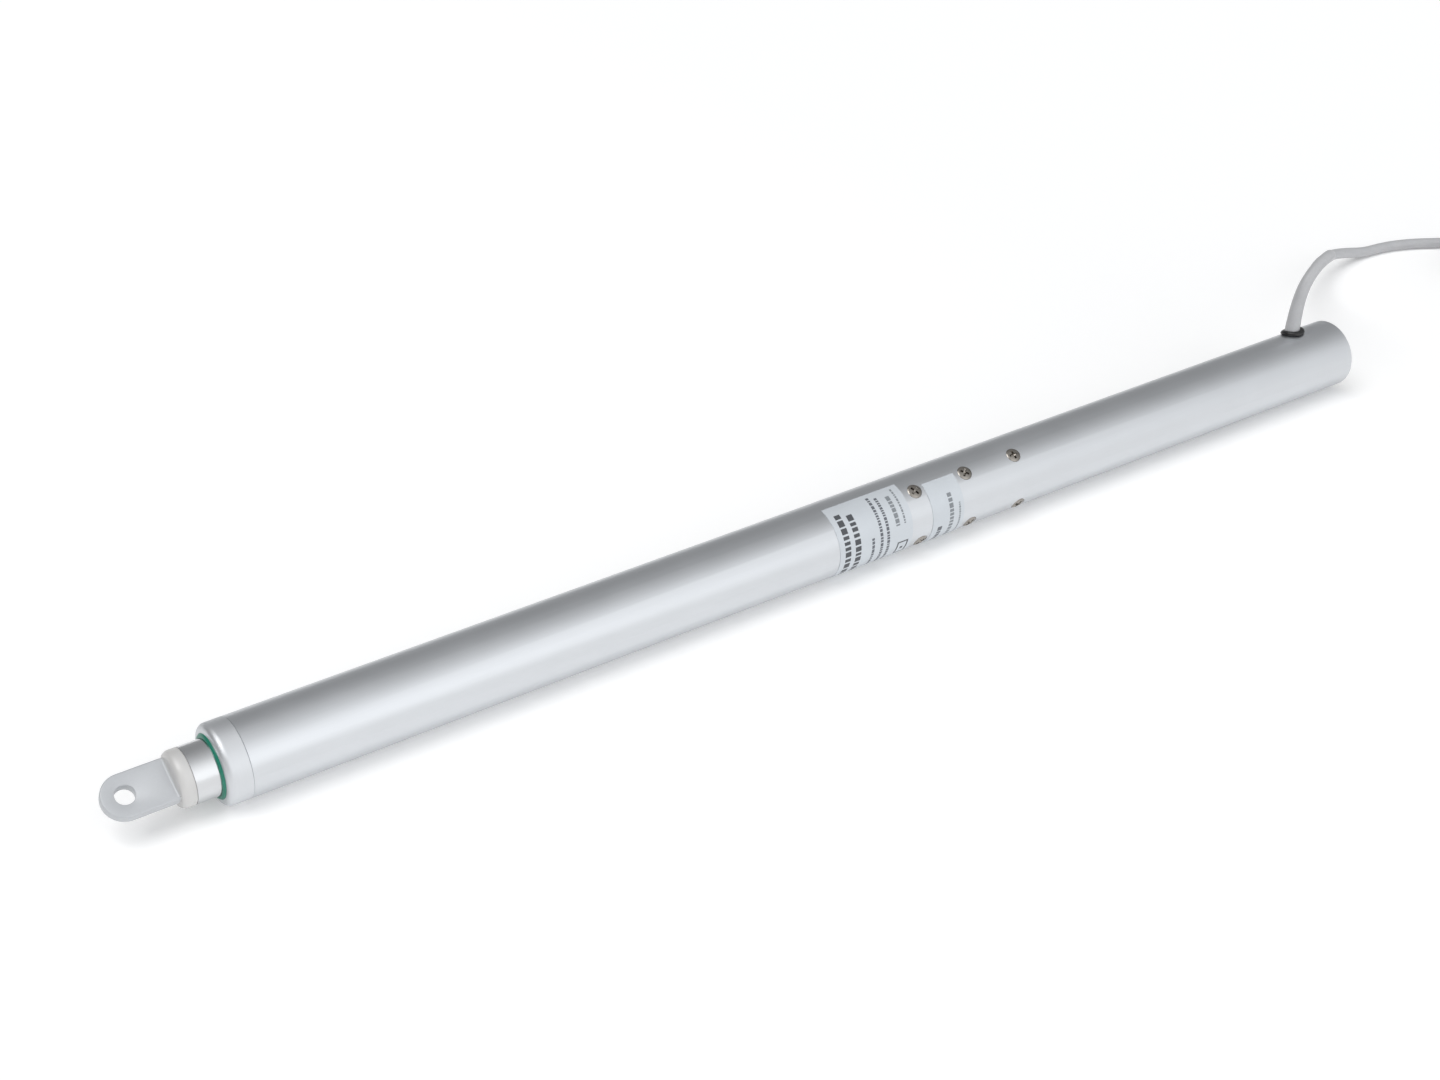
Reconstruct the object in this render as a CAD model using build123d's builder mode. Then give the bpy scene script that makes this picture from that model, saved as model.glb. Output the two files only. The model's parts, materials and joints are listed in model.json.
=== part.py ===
from build123d import *

import os
from math import acos, cos, pi, radians, sin, tan

os.makedirs("parts", exist_ok=True)

# A tubular spindle actuator, in millimetres. It lies along X with its eye towards +X, +Z is up and
# the tube rests on z = 0, under the middle of the retracted actuator's length.
# A station is a distance ahead of the seam between the housing tube and the front cap, and an angle
# is measured round the axis from +Y towards +Z.

# ---- Driving dimensions ----

tube_length = 644.5
tube_radius = 18.0
tube_bore = 16.0
insert_radius = 15.95          # everything that fills the bore of the housing tube
cap_length = 10.5

rod_radius = 12.5
rod_bore = 10.0
rod_rear = -324.0
rod_front = 21.7               # seam between push tube and rod eye, retracted
eye_face = 28.0                # flat face that the tongue stands on
eye_centre = 47.7
eye_radius = 9.9
eye_bore = 4.25
eye_angle = 58.5               # direction of the tongue's normal
tongue_low = -0.9              # the tongue's two faces, above the axis along that normal
tongue_high = 3.9

spindle_radius = 6.0
spindle_journal = 4.0

screw_rings = {"front": -347.0, "middle": -378.0, "rear": -409.0}
screw_angles = [58.5 + 90 * quarter for quarter in range(4)]
screw_head = 3.8
screw_shank = 1.95

label_film = 0.12
grommet_station = -619.0
grommet_angle = 103.5
grommet_top = 20.2
cable_radius = 3.1
sleeve_radius = 3.8
coil_middle = 36.85            # radius at the middle of the coiled cable's turns
coil_pitch = 6.3               # between turns side by side, and between the two layers
coil_columns = 5

gear_module = 0.5
sun_teeth = 15
planet_teeth = 18
ring_teeth = 51
planet_count = 3
flank_thinning = 0.05

running_gap = 0.05             # radial clearance of a shaft in its bush
free_gap = 0.3                 # between parts that pass each other without touching

seam_x = (tube_length - eye_centre - eye_radius) / 2
axis_height = tube_radius
long_axis = Axis((0, 0, axis_height), (1, 0, 0))


# ---- Shared construction ----

def station(distance, across=0.0, above=0.0):
    """The plane across the axis at a station, with its local x along +Y and its local y along +Z."""
    return Plane((seam_x + distance, across, axis_height + above), x_dir=(0, 1, 0), z_dir=(1, 0, 0))


def outward(angle):
    """The unit vector from the axis at an angle round it."""
    return Vector(0, cos(radians(angle)), sin(radians(angle)))


def facing(distance, angle, radius):
    """A plane square to the outward direction, at a radius, with its local x along +X."""
    centre = Vector(seam_x + distance, 0, axis_height) + outward(angle) * radius
    return Plane(centre, x_dir=(1, 0, 0), z_dir=outward(angle))


def radial_section(distance, angle):
    """A plane through the axis with local x along +X and local y outward."""
    return Plane((seam_x + distance, 0, axis_height), x_dir=(1, 0, 0), z_dir=outward(angle + 90))


def radial_axis(distance, angle):
    return Axis((seam_x + distance, 0, axis_height), outward(angle))


def turned(rear, front, radius, bore=0.0, mode=Mode.ADD):
    """Add or cut a round length of the axis in the part being built."""
    with BuildSketch(station(rear)) as section:
        Circle(radius)
        if bore:
            Circle(bore, mode=Mode.SUBTRACT)
    extrude(section.sketch, amount=front - rear, mode=mode)


def drilled(rear, front, radius):
    turned(rear, front, radius, mode=Mode.SUBTRACT)


def ring_sector(plane, inner, outer, angle, width):
    """A sector of a ring, centred on an angle, as a sketch."""
    with BuildSketch(plane) as sector:
        with BuildLine():
            rim = CenterArc((0, 0), outer, angle - width / 2, width)
            root = CenterArc((0, 0), inner, angle - width / 2, width)
            Line(rim @ 0, root @ 0)
            Line(rim @ 1, root @ 1)
        make_face()
    return sector.sketch


def polar(radius, angle):
    """A point by its radius and its angle in radians."""
    return (radius * cos(angle), radius * sin(angle))


def screw_sketch(distance, angle, tip, crown):
    """Half the profile of a countersunk screw: shank, cone and rim, up to its crown on the axis."""
    rim = tube_radius - 0.4
    neck = rim - 1.5
    with BuildSketch(radial_section(distance, angle)) as profile:
        with BuildLine():
            Polyline((0, crown), (0, tip), (screw_shank, tip), (screw_shank, neck), (screw_head, rim))
            if crown > rim + 1:
                Line((screw_head, rim), (screw_head, crown))
                Line((screw_head, crown), (0, crown))
            else:
                ThreePointArc((screw_head, rim), (screw_head * 0.55, crown - 0.28), (0, crown))
        make_face()
    return profile.sketch


def screw_holes(ring):
    """Cut the four countersunk holes of a screw ring from the part being built."""
    for angle in screw_angles:
        hole = screw_sketch(screw_rings[ring], angle, 12.4, tube_radius + 4)
        revolve(hole, axis=radial_axis(screw_rings[ring], angle), mode=Mode.SUBTRACT)


def gear_points(teeth, phase, addendum, dedendum, thinning):
    """The corners of a toothed outline: an involute flank through three radii on each side of a tooth.

    phase is the angle of the first tooth, in radians, and thinning is taken off each flank.
    """
    pressure = radians(20)
    pitch = gear_module * teeth / 2
    base = pitch * cos(pressure)

    def half_tooth(radius):
        at_radius = acos(min(1, base / radius))
        at_pitch = tan(pressure) - pressure
        return (pi / 2 / teeth - thinning / pitch) + at_pitch - (tan(at_radius) - at_radius)

    radii = [pitch - dedendum, pitch, pitch + addendum]
    corners = []
    for tooth in range(teeth):
        middle = phase + 2 * pi * tooth / teeth
        corners += [polar(radius, middle - half_tooth(radius)) for radius in radii]
        corners += [polar(radius, middle + half_tooth(radius)) for radius in reversed(radii)]
    return corners


def toothed(rear, front, teeth, phase, centre=(0, 0), bore=0.0):
    """Add a spur gear to the part being built, with stub teeth that run with backlash."""
    outline = gear_points(teeth, phase, 0.8 * gear_module, 1.1 * gear_module, flank_thinning)
    with BuildSketch(station(rear, *centre)) as section:
        with BuildLine():
            Polyline(*outline, close=True)
        make_face()
        if bore:
            Circle(bore, mode=Mode.SUBTRACT)
    extrude(section.sketch, amount=front - rear)


# ---- Housing tube and its screws ----

with BuildPart() as housing_tube:
    turned(-tube_length, 0, tube_radius, tube_bore)
    end_rims = housing_tube.edges().filter_by(GeomType.CIRCLE).group_by(Axis.X)
    chamfer(end_rims[0] + end_rims[-1], 0.3)
    for ring in screw_rings:
        screw_holes(ring)
    with BuildSketch(facing(grommet_station, grommet_angle, 0)):
        Circle(4.6)
    extrude(amount=tube_radius + 1, mode=Mode.SUBTRACT)
housing_tube.part.label = "housing_tube"
export_step(housing_tube.part, "parts/housing_tube.step")

with BuildPart() as housing_screws:
    crown = tube_radius + 0.75
    for ring_station in screw_rings.values():
        for angle in screw_angles:
            revolve(screw_sketch(ring_station, angle, 12.4, crown), axis=radial_axis(ring_station, angle))
            with BuildSketch(facing(ring_station, angle, crown)):
                Rectangle(4.2, 0.9, rotation=45)
                Rectangle(4.2, 0.9, rotation=-45)
            extrude(amount=-1.7, taper=12, mode=Mode.SUBTRACT)
housing_screws.part.label = "housing_screws"
export_step(housing_screws.part, "parts/housing_screws.step")

# ---- Labels wrapped round the tube ----

label_spans = {
    "rating_label": (-340.0, -296.6, 83.0, -76.0),
    "wiring_label": (-371.7, -352.4, 65.0, -69.0),
}
for label_name, (rear, front, top, low) in label_spans.items():
    with BuildPart() as film:
        extrude(
            ring_sector(station(rear), tube_radius, tube_radius + label_film, (top + low) / 2, top - low),
            amount=front - rear,
        )
    film.part.label = label_name
    export_step(film.part, f"parts/{label_name}.step")

# ---- Front cap with wiper seal, rod seal and guide bush ----

cap_spigot = -20.0
wiper_pocket = 14.4
seal_groove = 14.6
bush_pocket = 14.2

with BuildPart() as front_cap:
    turned(0, cap_length, tube_radius)
    nose = front_cap.edges().filter_by(GeomType.CIRCLE).sort_by(Axis.X)[-1]
    fillet(nose, 3.0)
    turned(cap_spigot, 0, insert_radius)
    drilled(cap_spigot, cap_length, rod_radius + 0.5)
    drilled(6.0, cap_length, wiper_pocket)
    drilled(3.0, 5.0, seal_groove)
    drilled(cap_spigot, 1.5, bush_pocket)
front_cap.part.label = "front_cap"
export_step(front_cap.part, "parts/front_cap.step")

with BuildPart() as wiper_seal:
    with BuildSketch(radial_section(0, 90)):
        with BuildLine():
            Polyline((10.3, wiper_pocket), (6.0, wiper_pocket), (6.0, 13.2), (9.4, 13.2), (10.6, 12.62))
            Line((10.6, 12.62), (11.5, 12.62))
            ThreePointArc((11.5, 12.62), (11.25, 13.75), (10.3, wiper_pocket))
        make_face()
    revolve(axis=long_axis)
wiper_seal.part.label = "wiper_seal"
export_step(wiper_seal.part, "parts/wiper_seal.step")

with BuildPart() as rod_seal:
    with BuildSketch(radial_section(4.0, 90)):
        with Locations((0, 13.62)):
            RectangleRounded(1.9, 1.9, 0.6)
    revolve(axis=long_axis)
rod_seal.part.label = "rod_seal"
export_step(rod_seal.part, "parts/rod_seal.step")

with BuildPart() as guide_bush:
    turned(-19.0, 1.5, bush_pocket, rod_radius + running_gap)
guide_bush.part.label = "guide_bush"
export_step(guide_bush.part, "parts/guide_bush.step")

# ---- Push tube with rod eye, nut and guide ring: all slide together ----

with BuildPart() as push_tube:
    turned(rod_rear, rod_front, rod_radius, rod_bore)
push_tube.part.label = "push_tube"
export_step(push_tube.part, "parts/push_tube.step")

eye_spigot = 5.0
eye_plane = Plane((seam_x, 0, axis_height), x_dir=(1, 0, 0), z_dir=outward(eye_angle))

with BuildPart() as eye_tongue:
    with BuildSketch(eye_plane.offset(tongue_low)):
        with Locations((eye_centre, 0)):
            Circle(eye_radius)
        with Locations(((eye_face - 2 + eye_centre) / 2, 0)):
            Rectangle(eye_centre - eye_face + 2, 2 * eye_radius)
    extrude(amount=tongue_high - tongue_low)
    across = eye_tongue.faces().sort_by(Axis(eye_plane.origin, eye_plane.z_dir))
    fillet(across[0].edges() + across[-1].edges(), 0.8)
    with BuildSketch(eye_plane.offset(tongue_low)):
        with Locations((eye_centre, 0)):
            Circle(eye_bore)
    extrude(amount=tongue_high - tongue_low, mode=Mode.SUBTRACT)
    bore_rims = eye_tongue.edges().filter_by(GeomType.CIRCLE)
    chamfer(bore_rims.filter_by(lambda rim: abs(rim.radius - eye_bore) < 0.01), 0.25)

with BuildPart() as rod_eye:
    turned(rod_front, eye_face, rod_radius)
    shoulder = rod_eye.edges().filter_by(GeomType.CIRCLE).sort_by(Axis.X)[-1]
    fillet(shoulder, 2.6)
    turned(eye_spigot, rod_front, rod_bore)
    add(eye_tongue.part)
rod_eye.part.label = "rod_eye"
export_step(rod_eye.part, "parts/rod_eye.step")

nut_front = -314.0
nut_rear = -334.0
guide_rear = -338.0

with BuildPart() as spindle_nut:
    turned(nut_rear, rod_rear, rod_radius)
    turned(rod_rear, nut_front, rod_bore)
    drilled(nut_rear, nut_front, spindle_radius + free_gap)
spindle_nut.part.label = "spindle_nut"
export_step(spindle_nut.part, "parts/spindle_nut.step")

with BuildPart() as guide_ring:
    turned(guide_rear, rod_rear, tube_bore - free_gap, rod_radius)
    turned(guide_rear, nut_rear, rod_radius, 9.0)
guide_ring.part.label = "guide_ring"
export_step(guide_ring.part, "parts/guide_ring.step")

# ---- Spindle and what turns with it ----

housing_front = -342.0
housing_rear = -383.0
bearing_width = 7.0
bearing_outer = 11.0
front_bearing = -349.0
rear_bearing = -369.0
bearing_fronts = [front_bearing, rear_bearing]
spindle_front = -8.0
coupling_front = -385.0

with BuildPart() as spindle:
    turned(front_bearing, -12.0, spindle_radius)
    turned(-12.0, spindle_front, spindle_journal)
    turned(coupling_front, front_bearing, spindle_journal)
    turned(coupling_front - 6, coupling_front, 3.5)
spindle.part.label = "spindle"
export_step(spindle.part, "parts/spindle.step")

with BuildPart() as spindle_tip_guide:
    turned(-12.0, spindle_front, rod_bore - free_gap, spindle_journal)
spindle_tip_guide.part.label = "spindle_tip_guide"
export_step(spindle_tip_guide.part, "parts/spindle_tip_guide.step")

with BuildPart() as bearing_inner_rings:
    for bearing_front in bearing_fronts:
        turned(bearing_front - bearing_width, bearing_front, 6.0, spindle_journal)
bearing_inner_rings.part.label = "bearing_inner_rings"
export_step(bearing_inner_rings.part, "parts/bearing_inner_rings.step")

with BuildPart() as spindle_lock_nut:
    with BuildSketch(station(-382.0)):
        RegularPolygon(7.0, 6)
        Circle(spindle_journal, mode=Mode.SUBTRACT)
    extrude(amount=382.0 + rear_bearing - bearing_width)
spindle_lock_nut.part.label = "spindle_lock_nut"
export_step(spindle_lock_nut.part, "parts/spindle_lock_nut.step")

# ---- Bearing housing, screwed to the tube by the front and middle screw rings ----

circlip_rear = -377.2
circlip_groove = 11.4

with BuildPart() as bearing_housing:
    turned(housing_rear, housing_front, insert_radius, 8.5)
    drilled(housing_rear, front_bearing, bearing_outer)
    drilled(circlip_rear, rear_bearing - bearing_width, circlip_groove)
    screw_holes("front")
    screw_holes("middle")
bearing_housing.part.label = "bearing_housing"
export_step(bearing_housing.part, "parts/bearing_housing.step")

with BuildPart() as bearing_outer_rings:
    for bearing_front in bearing_fronts:
        turned(bearing_front - bearing_width, bearing_front, bearing_outer, 9.0)
bearing_outer_rings.part.label = "bearing_outer_rings"
export_step(bearing_outer_rings.part, "parts/bearing_outer_rings.step")

ball_count = 8
with BuildPart() as bearing_balls:
    for bearing_front in bearing_fronts:
        with Locations(station(bearing_front - bearing_width / 2)):
            with PolarLocations(7.5, ball_count):
                Sphere(1.4)
bearing_balls.part.label = "bearing_balls"
export_step(bearing_balls.part, "parts/bearing_balls.step")

with BuildPart() as bearing_spacer:
    turned(rear_bearing, front_bearing - bearing_width, bearing_outer, 9.5)
bearing_spacer.part.label = "bearing_spacer"
export_step(bearing_spacer.part, "parts/bearing_spacer.step")

with BuildPart() as bearing_circlip:
    extrude(
        ring_sector(station(circlip_rear), 9.6, circlip_groove, 90, 320),
        amount=rear_bearing - bearing_width - circlip_rear,
    )
bearing_circlip.part.label = "bearing_circlip"
export_step(bearing_circlip.part, "parts/bearing_circlip.step")

stop_thickness = 2.5
with BuildPart() as end_stops:
    turned(housing_front, housing_front + stop_thickness, 14.5, 8.5)
    turned(cap_spigot - stop_thickness, cap_spigot, 15.6, rod_radius + 0.7)
end_stops.part.label = "end_stops"
export_step(end_stops.part, "parts/end_stops.step")

# ---- Jaw coupling between gearbox and spindle ----

hub_radius = 9.5
jaw_root = 5.0
hub_thickness = 6.0
coupling_rear = -403.3
jaw_gap = 0.3

with BuildPart() as coupling_spindle_half:
    turned(coupling_front - hub_thickness, coupling_front, hub_radius, 3.5)
    for jaw_angle in (0, 180):
        extrude(
            ring_sector(station(coupling_front - 2 * hub_thickness), jaw_root, hub_radius, jaw_angle, 50),
            amount=hub_thickness,
        )
coupling_spindle_half.part.label = "coupling_spindle_half"
export_step(coupling_spindle_half.part, "parts/coupling_spindle_half.step")

with BuildPart() as coupling_gear_half:
    turned(coupling_rear, coupling_rear + hub_thickness, hub_radius, 3.0)
    for jaw_angle in (90, 270):
        extrude(
            ring_sector(station(coupling_rear + hub_thickness), jaw_root, hub_radius, jaw_angle, 50),
            amount=hub_thickness - jaw_gap,
        )
coupling_gear_half.part.label = "coupling_gear_half"
export_step(coupling_gear_half.part, "parts/coupling_gear_half.step")

spider_plane = station(coupling_rear + hub_thickness)
with BuildPart() as coupling_spider:
    turned(coupling_rear + hub_thickness, coupling_front - hub_thickness, jaw_root - 0.2, 2.5)
    for leg_angle in (45, 135, 225, 315):
        extrude(
            ring_sector(spider_plane, jaw_root - 1, hub_radius - 0.2, leg_angle, 38),
            amount=coupling_front - coupling_rear - 2 * hub_thickness,
        )
coupling_spider.part.label = "coupling_spider"
export_step(coupling_spider.part, "parts/coupling_spider.step")

# ---- Two-stage planetary gearbox ----

flange_front = -404.0
flange_rear = -412.0
gearbox_rear = -440.0
output_shaft = 3.0
bush_radius = 4.0
carrier_radius = 10.5
carrier_thickness = 3.0
output_carrier_rear = -416.0
input_carrier_rear = -429.0
planet_length = 8.0
pin_radius = 1.25
pin_length = 9.0
planet_orbit = gear_module * (sun_teeth + planet_teeth) / 2
planet_angles = [2 * pi * n / planet_count for n in range(planet_count)]

# The sun has a tooth at angle zero. Each planet has a gap where the sun has a tooth, and the ring a
# gap where the planet has a tooth.
planet_phases = [
    angle + pi - 2 * pi / planet_teeth * (0.5 - sun_teeth * angle / (2 * pi)) for angle in planet_angles
]
ring_phase = 2 * pi / ring_teeth * (planet_teeth / 2 - 0.5)


def planet_pins(carrier_rear):
    """Add the pins that the planets of a stage run on, behind its carrier."""
    with BuildSketch(station(carrier_rear - pin_length)) as pins:
        with PolarLocations(planet_orbit, planet_count):
            Circle(pin_radius)
    extrude(pins.sketch, amount=pin_length)


with BuildPart() as gearbox_flange:
    turned(flange_rear, flange_front, insert_radius, bush_radius)
    screw_holes("rear")
gearbox_flange.part.label = "gearbox_flange"
export_step(gearbox_flange.part, "parts/gearbox_flange.step")

with BuildPart() as ring_gear:
    turned(gearbox_rear, flange_rear, insert_radius)
    tooth_gaps = gear_points(ring_teeth, ring_phase, 1.1 * gear_module, 0.8 * gear_module, -flank_thinning)
    with BuildSketch(station(gearbox_rear)):
        with BuildLine():
            Polyline(*tooth_gaps, close=True)
        make_face()
    extrude(amount=flange_rear - gearbox_rear, mode=Mode.SUBTRACT)
ring_gear.part.label = "ring_gear"
export_step(ring_gear.part, "parts/ring_gear.step")

with BuildPart() as output_carrier:
    turned(output_carrier_rear, output_carrier_rear + carrier_thickness, carrier_radius)
    turned(output_carrier_rear + carrier_thickness, coupling_rear + hub_thickness, output_shaft)
    planet_pins(output_carrier_rear)
output_carrier.part.label = "output_carrier"
export_step(output_carrier.part, "parts/output_carrier.step")

with BuildPart() as input_carrier:
    turned(input_carrier_rear, input_carrier_rear + carrier_thickness, carrier_radius)
    toothed(input_carrier_rear + carrier_thickness, output_carrier_rear - 1, sun_teeth, 0)
    planet_pins(input_carrier_rear)
input_carrier.part.label = "input_carrier"
export_step(input_carrier.part, "parts/input_carrier.step")

carrier_rears = {"output": output_carrier_rear, "input": input_carrier_rear}
for stage, carrier_rear in carrier_rears.items():
    planet_front = carrier_rear - 0.5
    for number, (angle, phase) in enumerate(zip(planet_angles, planet_phases), start=1):
        with BuildPart() as planet:
            toothed(
                planet_front - planet_length,
                planet_front,
                planet_teeth,
                phase,
                centre=polar(planet_orbit, angle),
                bore=pin_radius + running_gap,
            )
        planet.part.label = f"{stage}_planet_{number}"
        export_step(planet.part, f"parts/{stage}_planet_{number}.step")

# ---- Motor ----

motor_front = -443.0
motor_rear = -505.0
motor_radius = 14.0
can_bore = 12.5
motor_shaft_radius = 1.5
rear_bush_radius = 3.0
bell_rear = -512.0

with BuildPart() as motor_pinion:
    toothed(-437.5, -430.0, sun_teeth, 0, bore=motor_shaft_radius)
motor_pinion.part.label = "motor_pinion"
export_step(motor_pinion.part, "parts/motor_pinion.step")

with BuildPart() as motor_shaft:
    turned(-509.0, -429.8, motor_shaft_radius)
motor_shaft.part.label = "motor_shaft"
export_step(motor_shaft.part, "parts/motor_shaft.step")

with BuildPart() as motor_plate:
    turned(motor_front, gearbox_rear, insert_radius, 5.0)
motor_plate.part.label = "motor_plate"
export_step(motor_plate.part, "parts/motor_plate.step")

with BuildPart() as motor_can:
    turned(motor_rear, motor_front, motor_radius, can_bore)
    turned(motor_front - 2, motor_front, can_bore, bush_radius)
motor_can.part.label = "motor_can"
export_step(motor_can.part, "parts/motor_can.step")

with BuildPart() as sintered_bushes:
    turned(flange_rear, flange_front, bush_radius, output_shaft + running_gap)
    turned(motor_front - 4, motor_front, bush_radius, motor_shaft_radius + running_gap)
    turned(-510.0, motor_rear + 1, rear_bush_radius, motor_shaft_radius + running_gap)
sintered_bushes.part.label = "sintered_bushes"
export_step(sintered_bushes.part, "parts/sintered_bushes.step")

with BuildPart() as motor_magnets:
    for pole_angle in (90, 270):
        extrude(ring_sector(station(-492.0), 10.6, can_bore, pole_angle, 130), amount=36.0)
motor_magnets.part.label = "motor_magnets"
export_step(motor_magnets.part, "parts/motor_magnets.step")

slot_count = 5
core_rear = -490.0
core_length = 32.0
with BuildPart() as armature_core:
    with BuildSketch(station(core_rear)):
        Circle(10.0)
        Circle(motor_shaft_radius, mode=Mode.SUBTRACT)
        with PolarLocations(6.4, slot_count):
            Rectangle(4.0, 3.6, mode=Mode.SUBTRACT)
        with PolarLocations(9.2, slot_count):
            Rectangle(2.4, 1.2, mode=Mode.SUBTRACT)
    extrude(amount=core_length)
armature_core.part.label = "armature_core"
export_step(armature_core.part, "parts/armature_core.step")

with BuildPart() as armature_windings:
    with BuildSketch(station(core_rear)):
        with PolarLocations(6.4, slot_count):
            Rectangle(3.8, 3.4)
    extrude(amount=core_length)
    turned(core_rear - 4, core_rear, 8.6, 2.2)
    turned(core_rear + core_length, core_rear + core_length + 4, 8.6, 2.2)
armature_windings.part.label = "armature_windings"
export_step(armature_windings.part, "parts/armature_windings.step")

with BuildPart() as commutator:
    turned(-501.0, -495.5, 4.0, motor_shaft_radius)
    with BuildSketch(station(-501.0)):
        with PolarLocations(3.6, slot_count):
            Rectangle(1.2, 0.4)
    extrude(amount=5.5, mode=Mode.SUBTRACT)
commutator.part.label = "commutator"
export_step(commutator.part, "parts/commutator.step")

with BuildPart() as motor_brushes:
    with Locations(station(-498.3)):
        with Locations((6.2, 0), (-6.2, 0)):
            Box(3.6, 2.6, 3.6)
motor_brushes.part.label = "motor_brushes"
export_step(motor_brushes.part, "parts/motor_brushes.step")

with BuildPart() as motor_end_bell:
    turned(bell_rear, motor_rear, motor_radius)
    turned(motor_rear, -502.5, can_bore, 9.0)
    drilled(-510.0, motor_rear, rear_bush_radius)
motor_end_bell.part.label = "motor_end_bell"
export_step(motor_end_bell.part, "parts/motor_end_bell.step")

# ---- Electronics ----

board_top = -3.0               # local height above the axis
board_thickness = 1.6
board_width = 27.0
board_rear = -608.5
board_front = -521.0

with BuildPart() as circuit_board:
    with BuildSketch(station(board_rear)):
        with Locations((0, board_top - board_thickness / 2)):
            Rectangle(board_width, board_thickness)
    extrude(amount=board_front - board_rear)
circuit_board.part.label = "circuit_board"
export_step(circuit_board.part, "parts/circuit_board.step")

with BuildPart() as board_supports:
    for support_rear in (-610.5, -525.0):
        turned(support_rear, support_rear + 6, insert_radius)
    with BuildSketch(station(-610.5)):
        with Locations((0, 5.5)):
            RectangleRounded(18.0, 11.0, 2.0)
        with Locations((0, -10.0)):
            RectangleRounded(12.0, 6.0, 2.0)
    extrude(amount=91.5, mode=Mode.SUBTRACT)
    add(circuit_board.part, mode=Mode.SUBTRACT)
board_supports.part.label = "board_supports"
export_step(board_supports.part, "parts/board_supports.step")

with BuildPart() as board_relays:
    for relay_centre in (-560.0, -582.0):
        with BuildSketch(station(relay_centre - 9.5)):
            with Locations((0, board_top + 5.5)):
                Rectangle(15.5, 11.0)
        extrude(amount=19.0)
    chamfer(board_relays.edges().filter_by(Axis.X).group_by(Axis.Z)[-1], 0.6)
board_relays.part.label = "board_relays"
export_step(board_relays.part, "parts/board_relays.step")

with BuildPart() as board_capacitors:
    with Locations(Plane((seam_x - 543.0, 0, axis_height + board_top))):
        with Locations((0, 5.5), (0, -5.5)):
            Cylinder(4.0, 11.0, align=(Align.CENTER, Align.CENTER, Align.MIN))
board_capacitors.part.label = "board_capacitors"
export_step(board_capacitors.part, "parts/board_capacitors.step")

terminal_block_rear = -602.0
lead_offsets = [-4.0, 0.0, 4.0]
with BuildPart() as terminal_block:
    with BuildSketch(station(terminal_block_rear)):
        with Locations((0, board_top + 4.0)):
            Rectangle(13.0, 8.0)
    extrude(amount=8.0)
terminal_block.part.label = "terminal_block"
export_step(terminal_block.part, "parts/terminal_block.step")

wire_radius = 0.7
lead_height = 6.0
lead_spread = 4.0
with BuildPart() as motor_leads:
    for side in (-1, 1):
        with BuildLine() as lead_path:
            FilletPolyline(
                (seam_x + bell_rear, side * lead_spread, axis_height + lead_height),
                (seam_x + board_front - 8, side * lead_spread, axis_height + lead_height),
                (seam_x + board_front - 8, side * lead_spread, axis_height + board_top),
                radius=3.0,
            )
        with BuildSketch(Plane(lead_path.line @ 0, z_dir=lead_path.line % 0)):
            Circle(wire_radius)
        sweep()
motor_leads.part.label = "motor_leads"
export_step(motor_leads.part, "parts/motor_leads.step")

# ---- Rear end: plug, grommet and the cable's inner end ----

with BuildPart() as rear_plug:
    turned(-tube_length + 0.6, -636.0, insert_radius)
    chamfer(rear_plug.faces().sort_by(Axis.X)[0].edges(), 0.8)
    turned(-636.0, -630.0, insert_radius, 13.5)
rear_plug.part.label = "rear_plug"
export_step(rear_plug.part, "parts/rear_plug.step")

grommet_flange = 6.1
grommet_bottom = 14.6
with BuildPart() as cable_grommet:
    with BuildSketch(radial_section(grommet_station, grommet_angle)):
        with BuildLine():
            Polyline(
                (cable_radius, grommet_bottom),
                (grommet_flange, grommet_bottom),
                (grommet_flange, grommet_top - 1.2),
            )
            ThreePointArc(
                (grommet_flange, grommet_top - 1.2),
                (grommet_flange - 0.4, grommet_top - 0.35),
                (grommet_flange - 1.3, grommet_top),
            )
            Polyline(
                (grommet_flange - 1.3, grommet_top),
                (cable_radius, grommet_top),
                (cable_radius, grommet_bottom),
            )
        make_face()
    revolve(axis=radial_axis(grommet_station, grommet_angle))
    with BuildSketch(facing(grommet_station, grommet_angle, grommet_bottom)) as around_neck:
        Circle(9)
        Circle(4.6, mode=Mode.SUBTRACT)
    tube_wall = extrude(around_neck.sketch, amount=8, mode=Mode.PRIVATE)
    add(tube_wall & housing_tube.part, mode=Mode.SUBTRACT)
cable_grommet.part.label = "cable_grommet"
export_step(cable_grommet.part, "parts/cable_grommet.step")

tail_depth = 11.0
tail_end = Vector(seam_x + grommet_station, 0, axis_height) + outward(grommet_angle) * tail_depth
terminal_height = axis_height + board_top + 4
with BuildPart() as cable_inner_end:
    with BuildSketch(facing(grommet_station, grommet_angle, tail_depth)):
        Circle(cable_radius)
    extrude(amount=grommet_top - tail_depth)
    for offset in lead_offsets:
        core_start = tail_end + outward(grommet_angle) + Vector(0, offset * 0.4, 0)
        with BuildLine() as core_path:
            FilletPolyline(
                core_start,
                (core_start.X, offset, terminal_height),
                (seam_x + terminal_block_rear, offset, terminal_height),
                radius=2.0,
            )
        with BuildSketch(Plane(core_path.line @ 0, z_dir=core_path.line % 0)):
            Circle(wire_radius)
        sweep()
cable_inner_end.part.label = "cable_inner_end"
export_step(cable_inner_end.part, "parts/cable_inner_end.step")


# ---- Cable outside: an arch from the grommet down to the floor, a coil, a tail and bare leads ----

def bend_radii(points):
    """The arc at each corner: 0.45 of the shorter run beside it over the tangent of half the turn."""
    radii = []
    for before, corner, after in zip(points, points[1:], points[2:]):
        run_in = Vector(corner) - Vector(before)
        run_out = Vector(after) - Vector(corner)
        half_turn = radians(run_in.get_angle(run_out)) / 2
        radii.append(0.45 * min(run_in.length, run_out.length) / tan(half_turn))
    return radii


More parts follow.
